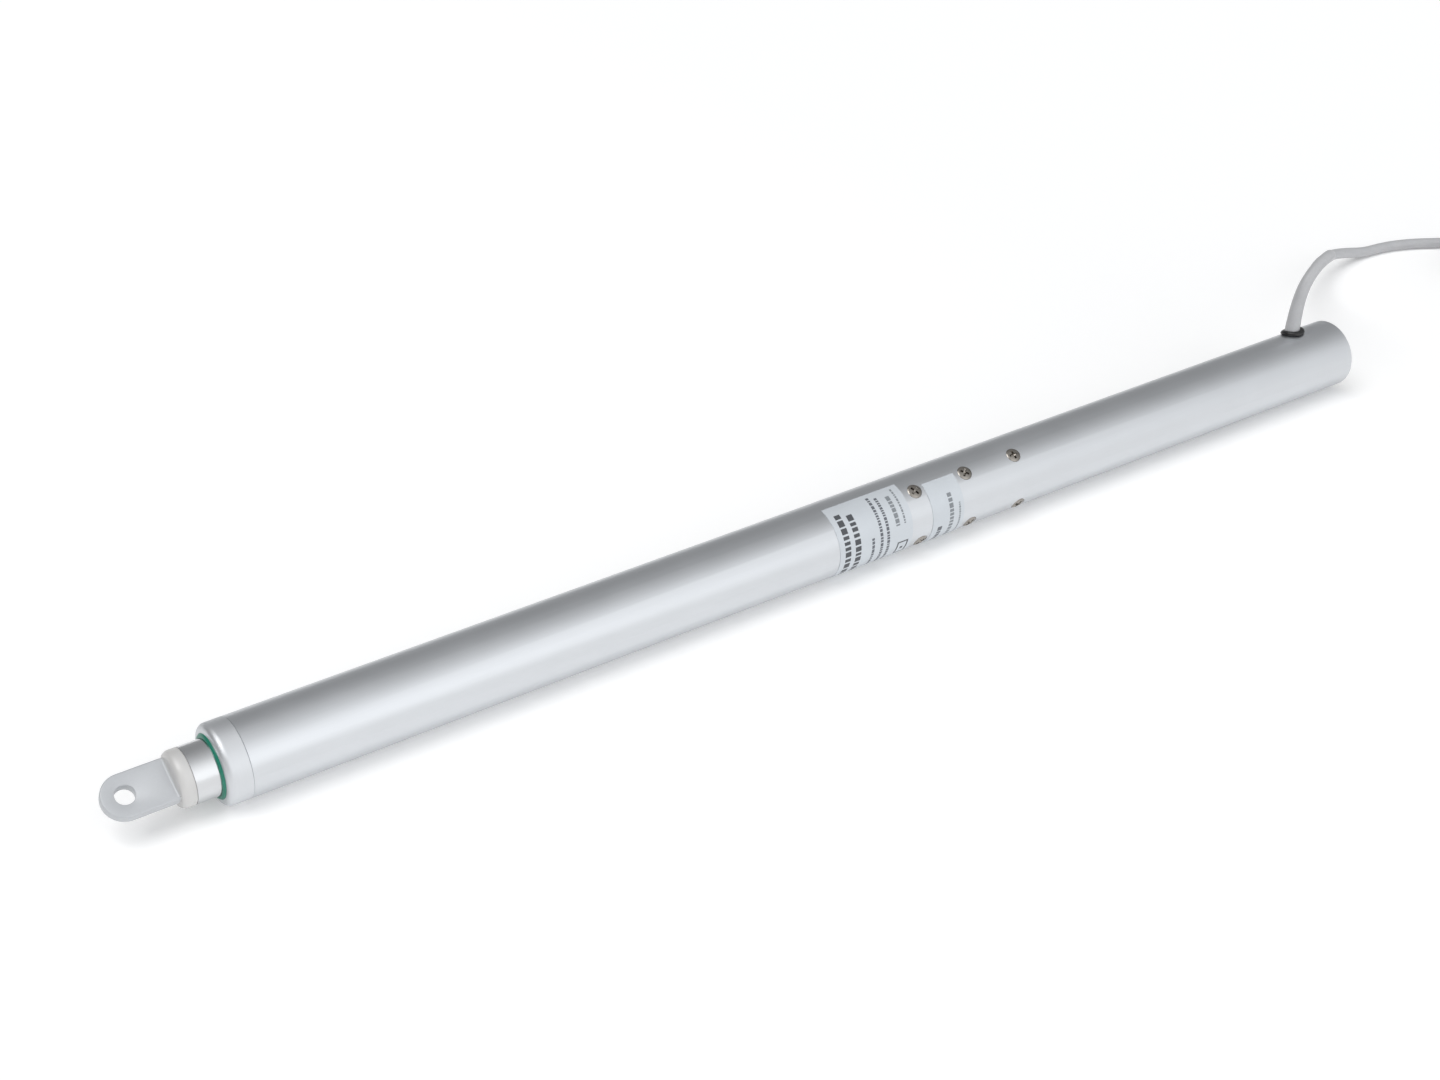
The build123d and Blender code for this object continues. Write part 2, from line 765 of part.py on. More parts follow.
def round_tube(path, radius, bore=0.0):
    """Add a round tube along a path to the part being built."""
    with BuildSketch(Plane(path @ 0, z_dir=path % 0)) as section:
        Circle(radius)
        if bore:
            Circle(bore, mode=Mode.SUBTRACT)
    sweep(section.sketch, path=path)


def report_tube(name, points, path, part):
    """Print a tube's bend radii and compare its volume with its section times its length."""
    print(name, "bend radii", [round(radius, 1) for radius in bend_radii(points)])
    length = sum(edge.length for edge in path.edges())
    expected = pi * cable_radius**2 * length
    print(name, f"length {length:.1f}, volume {part.volume:.0f}, expected {expected:.0f}")


# Station, distance across and height above the floor. The first point is the grommet's top and the
# last is where the cable joins the coil.
cable_route = [
    (grommet_station, grommet_top * cos(radians(grommet_angle)), 37.64),
    (-619.0, -7.4, 48.8),
    (-624.2, -6.8, 61.9),
    (-635.5, -8.1, 70.3),
    (-649.2, -11.8, 70.7),
    (-661.1, -20.9, 63.6),
    (-671.9, -33.2, 54.7),
    (-682.4, -47.0, 43.1),
    (-696.2, -60.5, 30.6),
    (-713.7, -74.6, 21.3),
    (-733.8, -87.5, 16.1),
    (-754.6, -96.1, 12.7),
    (-773.0, -99.7, 7.7),
    (-790.6, -100.6, 3.1),
    (-808.5, -99.0, 3.1),
    (-825.0, -93.1, 3.1),
    (-840.6, -83.7, 3.1),
    (-861.4, -71.7, 3.1),
    (-882.4, -60.1, 3.1),
]
cable_points = [(seam_x + distance, across, height) for distance, across, height in cable_route]

with BuildPart() as cable:
    with BuildLine() as cable_path:
        FilletPolyline(*cable_points, radius=bend_radii(cable_points))
    round_tube(cable_path.line, cable_radius)
cable.part.label = "cable"
export_step(cable.part, "parts/cable.step")
report_tube("cable", cable_points, cable_path.line, cable.part)

sleeve_end = (Vector(cable_points[2]) + Vector(cable_points[3])) / 2
with BuildPart() as cable_sleeve:
    with BuildLine() as sleeve_path:
        FilletPolyline(*cable_points[:3], sleeve_end, radius=bend_radii(cable_points)[:2])
    round_tube(sleeve_path.line, sleeve_radius, cable_radius)
cable_sleeve.part.label = "cable_sleeve"
export_step(cable_sleeve.part, "parts/cable_sleeve.step")

# The cable winds clockwise, seen from above, inwards on the floor and outwards on top of that.
coil_outer = coil_middle + coil_pitch * (coil_columns - 1) / 2
coil_entry = Vector(cable_points[-1])
entry_heading = (coil_entry - Vector(cable_points[-2])).normalized()
coil_centre = coil_entry + Vector(entry_heading.Y, -entry_heading.X, 0) * coil_outer
with BuildPart() as cable_coil:
    with BuildSketch(Plane((coil_centre.X, coil_centre.Y, 0))):
        Circle(coil_outer + cable_radius)
        Circle(2 * coil_middle - coil_outer - cable_radius, mode=Mode.SUBTRACT)
    extrude(amount=coil_pitch + 2 * cable_radius)
    fillet(cable_coil.edges(), 3.0)
cable_coil.part.label = "cable_coil"
export_step(cable_coil.part, "parts/cable_coil.step")

# The tail leaves the top layer a quarter turn past the coil's entry.
tail_across = entry_heading
tail_heading = Vector(entry_heading.Y, -entry_heading.X, 0)
tail_start = coil_centre + tail_across * coil_outer
tail_route = [(0, 0, 9.4), (16, 0, 9.4), (33, 0.8, 5.9), (51, 3.2, 3.1), (66.5, 6.6, 3.1)]
tail_points = [
    tail_start + tail_heading * ahead + tail_across * aside + Vector(0, 0, height - cable_radius)
    for ahead, aside, height in tail_route
]
with BuildPart() as cable_end:
    with BuildLine() as tail_path:
        FilletPolyline(*tail_points, radius=bend_radii(tail_points))
    round_tube(tail_path.line, cable_radius)
cable_end.part.label = "cable_end"
export_step(cable_end.part, "parts/cable_end.step")
report_tube("cable_end", tail_points, tail_path.line, cable_end.part)

end_heading = (tail_points[-1] - tail_points[-2]).normalized()
end_across = Vector(-end_heading.Y, end_heading.X, 0)
ferrule_radius = 0.9
with BuildPart() as lead_ends:
    for side in (-1, 0, 1):
        core_start = tail_points[-1] + end_across * (1.9 * side)
        core_bend = core_start + end_heading * 5
        core_end = core_bend + end_heading * 13 + end_across * (3.5 * side)
        core_end -= Vector(0, 0, cable_radius - ferrule_radius)
        with BuildLine() as core_path:
            FilletPolyline(core_start, core_bend, core_end, radius=12.0)
        round_tube(core_path.line, wire_radius)
        with BuildSketch(Plane(core_path.line @ 1, z_dir=core_path.line % 1)) as ferrule:
            Circle(ferrule_radius)
        extrude(ferrule.sketch, amount=-7.0)
lead_ends.part.label = "lead_ends"
export_step(lead_ends.part, "parts/lead_ends.step")
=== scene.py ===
import json
import math
import random

import bmesh
import bpy
from mathutils import Matrix, Vector


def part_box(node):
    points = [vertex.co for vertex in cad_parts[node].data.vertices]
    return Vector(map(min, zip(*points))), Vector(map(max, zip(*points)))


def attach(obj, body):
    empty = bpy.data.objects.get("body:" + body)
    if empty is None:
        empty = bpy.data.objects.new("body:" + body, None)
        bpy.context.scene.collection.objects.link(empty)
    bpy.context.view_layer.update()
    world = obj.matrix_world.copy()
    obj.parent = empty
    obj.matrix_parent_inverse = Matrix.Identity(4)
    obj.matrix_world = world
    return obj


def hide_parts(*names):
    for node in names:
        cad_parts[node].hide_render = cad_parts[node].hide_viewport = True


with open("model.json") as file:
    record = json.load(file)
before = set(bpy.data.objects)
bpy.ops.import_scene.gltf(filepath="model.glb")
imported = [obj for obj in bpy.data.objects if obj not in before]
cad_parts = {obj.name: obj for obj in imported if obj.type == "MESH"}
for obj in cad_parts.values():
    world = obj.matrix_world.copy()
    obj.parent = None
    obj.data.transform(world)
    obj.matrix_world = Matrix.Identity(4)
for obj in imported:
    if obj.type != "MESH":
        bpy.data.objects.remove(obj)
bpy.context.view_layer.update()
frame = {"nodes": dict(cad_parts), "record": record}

# A tubular linear actuator. Everything is in metres, in the row frame. A station is a distance ahead
# of the seam between the housing tube and the front cap, and an angle is measured round the long
# axis from +Y towards +Z, in degrees.

nodes = frame["nodes"]

MM = 0.001
tube_low, tube_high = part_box("housing_tube")
seam_x = tube_high.x
tube_radius = (tube_high.y - tube_low.y) / 2
axis_height = (tube_high.z + tube_low.z) / 2
HOUSING = "housing"


def outward(angle):
    return Vector((0, math.cos(math.radians(angle)), math.sin(math.radians(angle))))


def at(station, angle=0.0, radius=0.0):
    """The point at a station, an angle round the long axis and a distance from it."""
    return Vector((seam_x + station, 0, axis_height)) + outward(angle) * radius


# ---- Camera ----

CAMERA_PLACE = Vector((0.55108, 0.71951, 0.57339))
CAMERA_GAZE = Vector((-0.4858, -0.7014, -0.5216))


def add_camera():
    """A view from in front and above, on the side of the cable's hole, with the eye nearest."""
    data = bpy.data.cameras.new("camera")
    data.lens = 56.31
    data.sensor_width = 36.0
    data.clip_start = 0.02
    camera = bpy.data.objects.new("camera", data)
    bpy.context.scene.collection.objects.link(camera)
    camera.location = CAMERA_PLACE
    camera.rotation_mode = "QUATERNION"
    camera.rotation_quaternion = CAMERA_GAZE.to_track_quat("-Z", "Y")
    bpy.context.scene.camera = camera


add_camera()

# ---- Node helpers ----

def feed(tree, socket, value):
    """Set an input by a link from an output, or else by value."""
    if isinstance(value, bpy.types.NodeSocket):
        tree.links.new(value, socket)
    else:
        socket.default_value = value


def linked(tree, kind, **sockets):
    """A new shader node with some of its inputs set, by value or by a link from an output."""
    node = tree.nodes.new(kind)
    for name, value in sockets.items():
        feed(tree, node.inputs[name.replace("_", " ")], value)
    return node


def noise_value(tree, scale, stretch=(1, 1, 1), detail=3.0, roughness=0.55):
    """Fractal noise between about 0.25 and 0.75 over the piece's own coordinates."""
    place = linked(tree, "ShaderNodeTexCoord").outputs["Object"]
    scaled = linked(tree, "ShaderNodeMapping", Vector=place, Scale=stretch).outputs["Vector"]
    noise = linked(
        tree, "ShaderNodeTexNoise", Vector=scaled, Scale=scale, Detail=detail, Roughness=roughness
    )
    return noise.outputs["Fac"]


def ranged(tree, value, low, high, from_low=0.3, from_high=0.7):
    """Carry a range of the value over to low..high, clamped at both ends."""
    node = linked(tree, "ShaderNodeMapRange", Value=value)
    node.inputs["From Min"].default_value = from_low
    node.inputs["From Max"].default_value = from_high
    node.inputs["To Min"].default_value = low
    node.inputs["To Max"].default_value = high
    return node.outputs["Result"]


def mixed(tree, factor, first, second):
    """Blend two colours, or outputs that carry colours."""
    node = tree.nodes.new("ShaderNodeMix")
    node.data_type = "RGBA"
    tree.links.new(factor, node.inputs["Factor"])
    # A Mix node has its sockets once for each data type, and these are the colour ones.
    colour_a, colour_b, result = node.inputs[6], node.inputs[7], node.outputs[2]
    for socket, value in ((colour_a, first), (colour_b, second)):
        feed(tree, socket, value if isinstance(value, bpy.types.NodeSocket) else (*value, 1.0))
    return result


def calculated(tree, operation, *values):
    """The result of a Math node on outputs or numbers."""
    node = tree.nodes.new("ShaderNodeMath")
    node.operation = operation
    for socket, value in zip(node.inputs, values):
        feed(tree, socket, value)
    return node.outputs[0]


def separated(tree, kind):
    """The X, Y and Z outputs of a texture coordinate of some kind."""
    vector = linked(tree, "ShaderNodeTexCoord").outputs[kind]
    return linked(tree, "ShaderNodeSeparateXYZ", Vector=vector).outputs


# ---- Studio ----

SKY_DIM = 0.35
SKY_TINT = (0.975, 0.987, 1.0, 1.0)
GLOW_TOP = 1.2
# The angle of a direction round the long axis, from the +Y horizon over the top to the -Y one, as a
# share of half a turn, and the glow there. The glow is divided by GLOW_TOP, because a curve stops at
# one, and added to SKY_DIM.
SKY_GLOW = [
    (0.00, 0.98),
    (0.11, 1.10),
    (0.20, 0.98),
    (0.29, 0.76),
    (0.38, 0.47),
    (0.46, 0.25),
    (0.55, 0.11),
    (0.66, 0.03),
    (0.78, 0.00),
    (1.00, 0.10),
]
SUN_TOWARDS = Vector((0.40, 0.0, 0.92))
SUN_STRENGTH = 1.42
SUN_WIDTH = 46


def sky_glow(tree, share):
    """The curve through SKY_GLOW's points."""
    curve = linked(tree, "ShaderNodeFloatCurve", Value=share)
    points = curve.mapping.curves[0].points
    for place, level in SKY_GLOW[1:-1]:
        points.new(place, level / GLOW_TOP)
    for point, (place, level) in ((points[0], SKY_GLOW[0]), (points[-1], SKY_GLOW[-1])):
        point.location = (place, level / GLOW_TOP)
    curve.mapping.update()
    return curve.outputs["Value"]


def add_sky():
    """A soft sky, brightest low on the +Y side, that dims towards -Y and towards both ends."""
    world = bpy.data.worlds.new("studio")
    bpy.context.scene.world = world
    world.use_nodes = True
    tree = world.node_tree
    parts = separated(tree, "Generated")
    turn = calculated(tree, "ARCTAN2", parts["Z"], parts["Y"])
    glow = sky_glow(tree, ranged(tree, turn, 0.0, 1.0, 0.0, math.pi))
    rearwards = ranged(tree, parts["X"], 0.40, 1.28, -0.78, -0.42)
    forwards = ranged(tree, parts["X"], 1.0, 0.36, 0.0, 0.55)
    strength = calculated(tree, "MULTIPLY_ADD", glow, rearwards, SKY_DIM)
    background = tree.nodes["Background"]
    background.inputs["Color"].default_value = SKY_TINT
    tree.links.new(calculated(tree, "MULTIPLY", strength, forwards), background.inputs["Strength"])


def add_studio():
    """The sky and one wide, weak sun, high and a little ahead."""
    bpy.context.scene.view_settings.view_transform = "Standard"
    add_sky()
    data = bpy.data.lights.new("fill", "SUN")
    data.energy = SUN_STRENGTH
    data.angle = math.radians(SUN_WIDTH)
    sun = bpy.data.objects.new("fill", data)
    bpy.context.scene.collection.objects.link(sun)
    sun.rotation_mode = "QUATERNION"
    sun.rotation_quaternion = (-SUN_TOWARDS).to_track_quat("-Z", "Y")


add_studio()

# ---- Materials ----

materials = {}


def shade(colour, factor):
    return tuple(min(1.0, channel * factor) for channel in colour)


def surface(
    name,
    colour,
    metallic=0.0,
    roughness=0.4,
    variation=0.05,
    mottle=60,
    grain=1800,
    stretch=(1, 1, 1),
    grain_depth=0.004,
    rough_spread=0.05,
    wear=None,
):
    """Add a finish with uneven colour and gloss and a fine bumpy grain, and return its nodes.

    variation is how far the colour strays and rough_spread how far the roughness does. mottle and
    grain are noise scales, stretch lengthens the grain, grain_depth is its bump in millimetres, and
    wear is a second colour in rare small marks.
    """
    material = bpy.data.materials.new(name)
    materials[name] = material
    material.use_nodes = True
    tree = material.node_tree
    shader = tree.nodes["Principled BSDF"]
    shader.inputs["Metallic"].default_value = metallic
    cloud = noise_value(tree, mottle, detail=4.0)
    fine = noise_value(tree, grain, stretch)
    tone = mixed(
        tree, ranged(tree, cloud, 0.0, 1.0), shade(colour, 1 - variation), shade(colour, 1 + variation)
    )
    speckled = mixed(tree, ranged(tree, fine, 0.0, 0.5), tone, shade(colour, 1 - 2 * variation))
    if wear:
        marks = noise_value(tree, mottle * 6, detail=6.0, roughness=0.7)
        speckled = mixed(tree, ranged(tree, marks, 0.0, 1.0, 0.66, 0.72), speckled, wear)
    tree.links.new(speckled, shader.inputs["Base Color"])
    gloss = ranged(tree, cloud, roughness - rough_spread, roughness + rough_spread)
    tree.links.new(gloss, shader.inputs["Roughness"])
    bump = linked(tree, "ShaderNodeBump", Height=fine, Distance=grain_depth * MM)
    bump.inputs["Strength"].default_value = 0.8
    tree.links.new(bump.outputs["Normal"], shader.inputs["Normal"])
    return tree


BAND_DEPTH = 0.1 * MM
# Radians that the Wave texture turns through for each unit of its scaled coordinate.
WAVE_RATE = 20


def banded(name, colour, other, period, metallic, roughness):
    """Add a finish with regular bands along X, such as stacked sheets or wound wire."""
    tree = surface(name, colour, metallic, roughness, variation=0.04)
    shader = tree.nodes["Principled BSDF"]
    place = linked(tree, "ShaderNodeTexCoord").outputs["Object"]
    scale = math.tau / period / WAVE_RATE
    wave = linked(tree, "ShaderNodeTexWave", Vector=place, Scale=scale, Distortion=0.6, Detail=2.0)
    wave.bands_direction = "X"
    base = shader.inputs["Base Color"].links[0].from_socket
    tree.links.new(mixed(tree, wave.outputs["Fac"], other, base), shader.inputs["Base Color"])
    bump = shader.inputs["Normal"].links[0].from_node
    tree.links.new(wave.outputs["Fac"], bump.inputs["Height"])
    bump.inputs["Distance"].default_value = BAND_DEPTH


def make_materials():
    """Fill the table of finishes.

    The numbers after a colour are metallic, roughness, variation, mottle, grain and so on, in the
    order of surface's arguments.
    """
    drawn = (0.02, 1, 1)
    turned = (1, 0.02, 0.02)
    surface("anodised_aluminium", (0.66, 0.677, 0.699), 1.0, 0.36, 0.015, 45, 1500, drawn, 0.003, 0.02)
    surface("turned_aluminium", (0.68, 0.695, 0.715), 1.0, 0.50, 0.015, 60, 1500, turned, 0.004, 0.02)
    surface("drawn_push_tube", (0.66, 0.668, 0.68), 1.0, 0.24, 0.008, 60, 1800, drawn, 0.002, 0.012)
    surface(
        "cast_eye", (0.515, 0.53, 0.55), 0.15, 0.42, 0.02, 90, 900, grain_depth=0.012,
        rough_spread=0.06,
    )
    surface(
        "bright_screws", (0.35, 0.325, 0.295), 1.0, 0.20, 0.10, 500, 2600, grain_depth=0.003,
        wear=(0.24, 0.22, 0.19),
    )
    surface("label_film", (0.60, 0.635, 0.67), 0.15, 0.36, 0.02, 70, 900, grain_depth=0.002)
    surface("green_seal", (0.008, 0.20, 0.13), 0.0, 0.34, 0.12, 200, 2400, grain_depth=0.01)
    surface("black_rubber", (0.012, 0.012, 0.013), 0.0, 0.36, 0.3, 260, 1900, grain_depth=0.015)
    surface(
        "grey_cable", (0.47, 0.473, 0.485), 0.0, 0.42, 0.05, 130, 1300, grain_depth=0.02,
        rough_spread=0.07, wear=(0.40, 0.40, 0.41),
    )
    surface("lead_cores", (0.10, 0.11, 0.13), 0.0, 0.35, 0.1, 300, 2000)
    surface("acetal", (0.80, 0.79, 0.74), 0.0, 0.4, 0.03, 120, 1500)
    surface("bronze", (0.58, 0.36, 0.16), 1.0, 0.33, 0.08, 160, 1400)
    surface("ground_steel", (0.60, 0.61, 0.62), 1.0, 0.22, 0.03, 90, 2600)
    surface("machined_aluminium", (0.74, 0.75, 0.76), 1.0, 0.33, 0.03)
    surface("elastic_spider", (0.42, 0.04, 0.02), 0.0, 0.42, 0.08)
    surface("gear_steel", (0.42, 0.42, 0.43), 1.0, 0.28, 0.06, 200, 1600, wear=(0.25, 0.22, 0.18))
    surface("zinc_can", (0.66, 0.66, 0.62), 1.0, 0.30, 0.08, 240, 1200)
    surface("ferrite", (0.05, 0.05, 0.055), 0.1, 0.55, 0.2, 300, 1000)
    banded("core_iron", (0.32, 0.32, 0.33), (0.18, 0.18, 0.19), 0.5 * MM, 0.9, 0.4)
    banded("copper", (0.60, 0.24, 0.08), (0.34, 0.12, 0.04), 0.4 * MM, 0.9, 0.3)
    surface("black_plastic", (0.022, 0.022, 0.024), 0.0, 0.46, 0.25, 200, 1100, grain_depth=0.03)
    surface("green_board", (0.01, 0.14, 0.05), 0.0, 0.3, 0.2, 400, 900)
    surface("capacitor_can", (0.03, 0.04, 0.07), 0.0, 0.35, 0.15)
    surface("terminal_plastic", (0.04, 0.20, 0.08), 0.0, 0.4, 0.1)
    surface("print_ink", (0.075, 0.08, 0.09), 0.0, 0.5, 0.12, 900, 2500)
    surface("small_ink", (0.13, 0.14, 0.16), 0.0, 0.5, 0.10, 900, 2500)
    surface("faint_ink", (0.24, 0.26, 0.28), 0.0, 0.5, 0.10, 900, 2500)
    surface("nylon_tie", (0.72, 0.71, 0.66), 0.0, 0.38, 0.04, 150, 900)
    surface("blue_core", (0.02, 0.08, 0.30), 0.0, 0.36, 0.1, 300, 2000)
    surface("brown_core", (0.12, 0.045, 0.02), 0.0, 0.36, 0.1, 300, 2000)
    surface("ferrule_tin", (0.70, 0.70, 0.71), 1.0, 0.25, 0.05, 400, 2200)


make_materials()
slots = {part["node"]: part["material_slot"] for part in frame["record"]["subparts"]}


def dress_nodes():
    """Give each CAD node the finish of its slot in the record, and the cap its turning marks."""
    for name, node in nodes.items():
        node.data.materials.clear()
        finish = "turned_aluminium" if name == "front_cap" else slots[name]
        node.data.materials.append(materials[finish])


dress_nodes()


# ---- Mesh helpers ----

def mesh_object(name, bm):
    mesh = bpy.data.meshes.new(name)
    bm.to_mesh(mesh)
    bm.free()
    made = bpy.data.objects.new(name, mesh)
    bpy.context.scene.collection.objects.link(made)
    return made


def new_piece(name, bm, slot, body, smooth, finish=None):
    """Turn a bmesh into a piece that rides on a body, with its slot's finish or another one.

    Edges that turn by more than smooth, in degrees, stay sharp.
    """
    bmesh.ops.recalc_face_normals(bm, faces=bm.faces)
    piece = mesh_object(name, bm)
    piece.data.materials.append(materials[finish or slot])
    piece.data.shade_smooth()
    piece.data.set_sharp_from_angle(angle=math.radians(smooth))
    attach(piece, body)
    return piece


def ring_of(bm, centre, side, up, radius, segments):
    """A ring of vertices in the plane of two unit vectors."""
    made = []
    for step in range(segments):
        angle = math.tau * step / segments
        made.append(bm.verts.new(centre + (side * math.cos(angle) + up * math.sin(angle)) * radius))
    return made


def bridge(bm, first, second):
    for step in range(len(first)):
        after = (step + 1) % len(first)
        bm.faces.new((first[step], first[after], second[after], second[step]))


def close_ends(bm, rings):
    bm.faces.new(rings[0])
    bm.faces.new(rings[-1])


def in_metres(profile):
    return [(distance * MM, radius * MM) for distance, radius in profile]


def lathe(bm, origin, axis, profile, segments=64, closed=False):
    """Revolve a profile of (distance along the axis, radius) points round an axis.

    A radius of zero at either end closes the surface with a fan.
    """
    axis = axis.normalized()
    side = axis.orthogonal().normalized()
    up = axis.cross(side)
    rings = []
    for distance, radius in profile:
        centre = origin + axis * distance
        if radius == 0:
            rings.append([bm.verts.new(centre)])
        else:
            rings.append(ring_of(bm, centre, side, up, radius, segments))
    pairs = list(zip(rings, rings[1:]))
    if closed:
        pairs.append((rings[-1], rings[0]))
    for first, second in pairs:
        if len(first) == 1 or len(second) == 1:
            tip, rim = (first[0], second) if len(first) == 1 else (second[0], first)
            for step in range(segments):
                bm.faces.new((tip, rim[step], rim[(step + 1) % segments]))
        else:
            bridge(bm, first, second)


def tube_along(bm, points, radii, segments):
    """Skin a round tube along points, with a radius at each, no twist and closed ends."""
    tangents = []
    for index in range(len(points)):
        before = points[max(0, index - 1)]
        after = points[min(len(points) - 1, index + 1)]
        tangents.append((after - before).normalized())
    side = tangents[0].orthogonal().normalized()
    rings = []
    for point, tangent, radius in zip(points, tangents, radii):
        side = (side - tangent * side.dot(tangent)).normalized()
        rings.append(ring_of(bm, point, side, tangent.cross(side), radius, segments))
    for first, second in zip(rings, rings[1:]):
        bridge(bm, first, second)
    close_ends(bm, rings)


# ---- Cable ----

CABLE_RADIUS = 3.1 * MM
COIL_MIDDLE = 36.85 * MM
COIL_PITCH = 6.3 * MM
COIL_COLUMNS = 5
POINTS_PER_TURN = 18
TOP_LAYER = 9.4 * MM
COIL_OUTER = COIL_MIDDLE + COIL_PITCH * (COIL_COLUMNS - 1) / 2
COIL_TOP = TOP_LAYER + CABLE_RADIUS

# Station, distance across and height of the cable's axis, from the grommet's top to the coil.
cable_route = [
    (-0.6190, -0.0047, 0.0376),
    (-0.6213, -0.0060, 0.0482),
    (-0.6252, -0.0062, 0.0612),
    (-0.6356, -0.0080, 0.0691),
    (-0.6492, -0.0118, 0.0705),
    (-0.6611, -0.0209, 0.0636),
    (-0.6725, -0.0327, 0.0547),
    (-0.6834, -0.0463, 0.0431),
    (-0.6972, -0.0598, 0.0306),
    (-0.7145, -0.0740, 0.0213),
    (-0.7342, -0.0871, 0.0161),
    (-0.7546, -0.0961, 0.0127),
    (-0.7730, -0.0997, 0.0077),
    (-0.7906, -0.1006, 0.0031),
    (-0.8085, -0.0990, 0.0031),
    (-0.8250, -0.0931, 0.0031),
    (-0.8406, -0.0837, 0.0031),
    (-0.8614, -0.0717, 0.0031),
    (-0.8824, -0.0601, 0.0031),
]
# The tail beyond the coil: distance ahead, distance aside and height.
tail_route = [
    (0.0160, 0.0, TOP_LAYER),
    (0.0330, 0.0008, 0.0059),
    (0.0510, 0.0032, 0.0031),
    (0.0665, 0.0066, 0.0031),
]


def coil_radius_and_height(turns):
    """Inwards on the floor, up over less than half a turn, then outwards on top."""
    wound_in = COIL_COLUMNS - 1
    climbed = wound_in + 0.4
    if turns <= wound_in:
        return COIL_OUTER - COIL_PITCH * turns, CABLE_RADIUS
    inner = COIL_OUTER - COIL_PITCH * wound_in
    if turns <= climbed:
        share = (turns - wound_in) / (climbed - wound_in)
        return inner, CABLE_RADIUS + (TOP_LAYER - CABLE_RADIUS) * share
    return inner + COIL_PITCH * (turns - climbed), TOP_LAYER


def cable_line():
    """The control points of the whole cable, and the coil's centre and two headings."""
    points = [Vector((seam_x + station, across, height)) for station, across, height in cable_route]
    heading = (points[-1] - points[-2]).normalized()
    inward = Vector((heading.y, -heading.x, 0))
    centre = points[-1] + inward * COIL_OUTER
    centre.z = 0
    entry = math.atan2(-inward.y, -inward.x)
    # Control points stand a little outside the circle that the spline through them makes.
    swell = 2 / (1 + math.cos(math.pi / POINTS_PER_TURN))
    turn_count = 2 * COIL_COLUMNS - 1.75
    for step in range(1, round(turn_count * POINTS_PER_TURN) + 1):
        turns = step / POINTS_PER_TURN
        radius, height = coil_radius_and_height(turns)
        angle = entry - math.tau * turns
        offset = Vector((math.cos(angle), math.sin(angle), 0)) * radius * swell
        points.append(centre + offset + Vector((0, 0, height)))
    start = centre + heading * COIL_OUTER
    for ahead, aside, height in tail_route:
        points.append(start + inward * ahead + heading * aside + Vector((0, 0, height)))
    return points, centre, heading, inward


def nurbs_curve(name, points, bevel):
    data = bpy.data.curves.new(name, "CURVE")
    data.dimensions = "3D"
    data.resolution_u = 10
    data.bevel_depth = bevel
    data.bevel_resolution = 7
    data.use_fill_caps = bevel > 0
    spline = data.splines.new("NURBS")
    spline.points.add(len(points) - 1)
    for target, point in zip(spline.points, points):
        target.co = (*point, 1.0)
    spline.order_u = 3
    spline.use_endpoint_u = True
    return data


def spline_points(points):
    """Points along the cable's own spline, read from a copy with no bevel."""
    data = nurbs_curve("cable_line", points, 0.0)
    line = bpy.data.objects.new("cable_line", data)
    bpy.context.scene.collection.objects.link(line)
    bpy.context.view_layer.update()
    mesh = bpy.data.meshes.new_from_object(line.evaluated_get(bpy.context.evaluated_depsgraph_get()))
    found = [vertex.co.copy() for vertex in mesh.vertices]
    bpy.data.objects.remove(line)
    return found


SLEEVE_LENGTH = 32 * MM
SLEEVE_BASE = 3.95 * MM
# How far the sleeve's root reaches down into the grommet.
SLEEVE_ROOT = 1.4 * MM


def make_sleeve(line):
    """The smooth tapered strain relief along the cable's first stretch, rooted in the grommet."""
    bm = bmesh.new()
    tip = CABLE_RADIUS * 1.005
    points = [line[0] - (line[1] - line[0]).normalized() * SLEEVE_ROOT]
    radii = [SLEEVE_BASE]
    travelled = 0.0
    for before, after in zip(line, line[1:]):
        share = min(1.0, travelled / SLEEVE_LENGTH)
        points.append(before)
        radii.append(tip + (SLEEVE_BASE - tip) * (1 - share) ** 1.3)
        if travelled >= SLEEVE_LENGTH:
            break
        travelled += (after - before).length
    # The last ring dips just under the cable's surface, so that no step shows.
    radii[-1] = CABLE_RADIUS * 0.985
    tube_along(bm, points, radii, 40)
    piece = new_piece("cable_sleeve_taper", bm, "grey_cable", HOUSING, 50)
    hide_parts("cable_sleeve")
    return piece


TIE_SLACK = 0.3 * MM
TIE_CORNER = 2.6 * MM
TIE_WIDTH = 3.6 * MM
TIE_THICKNESS = 0.45 * MM
TIE_HEAD = (3.2 * MM, 5.4 * MM, 5.0 * MM)
TIE_FAR = COIL_OUTER + CABLE_RADIUS + TIE_SLACK


def tie_path():
    """Distances from the coil's centre and heights, once round the coil's section."""
    near, far = 2 * COIL_MIDDLE - COIL_OUTER - CABLE_RADIUS - TIE_SLACK, TIE_FAR
    low, high = TIE_CORNER, COIL_TOP - TIE_CORNER + TIE_SLACK
    corners = [(far - TIE_CORNER, low), (far - TIE_CORNER, high)]
    corners += [(near + TIE_CORNER, high), (near + TIE_CORNER, low)]
    path = []
    for index, (across, height) in enumerate(corners):
        for step in range(7):
            turn = math.radians(-90 + 90 * index + 15 * step)
            path.append((across + TIE_CORNER * math.cos(turn), height + TIE_CORNER * math.sin(turn)))
    return path


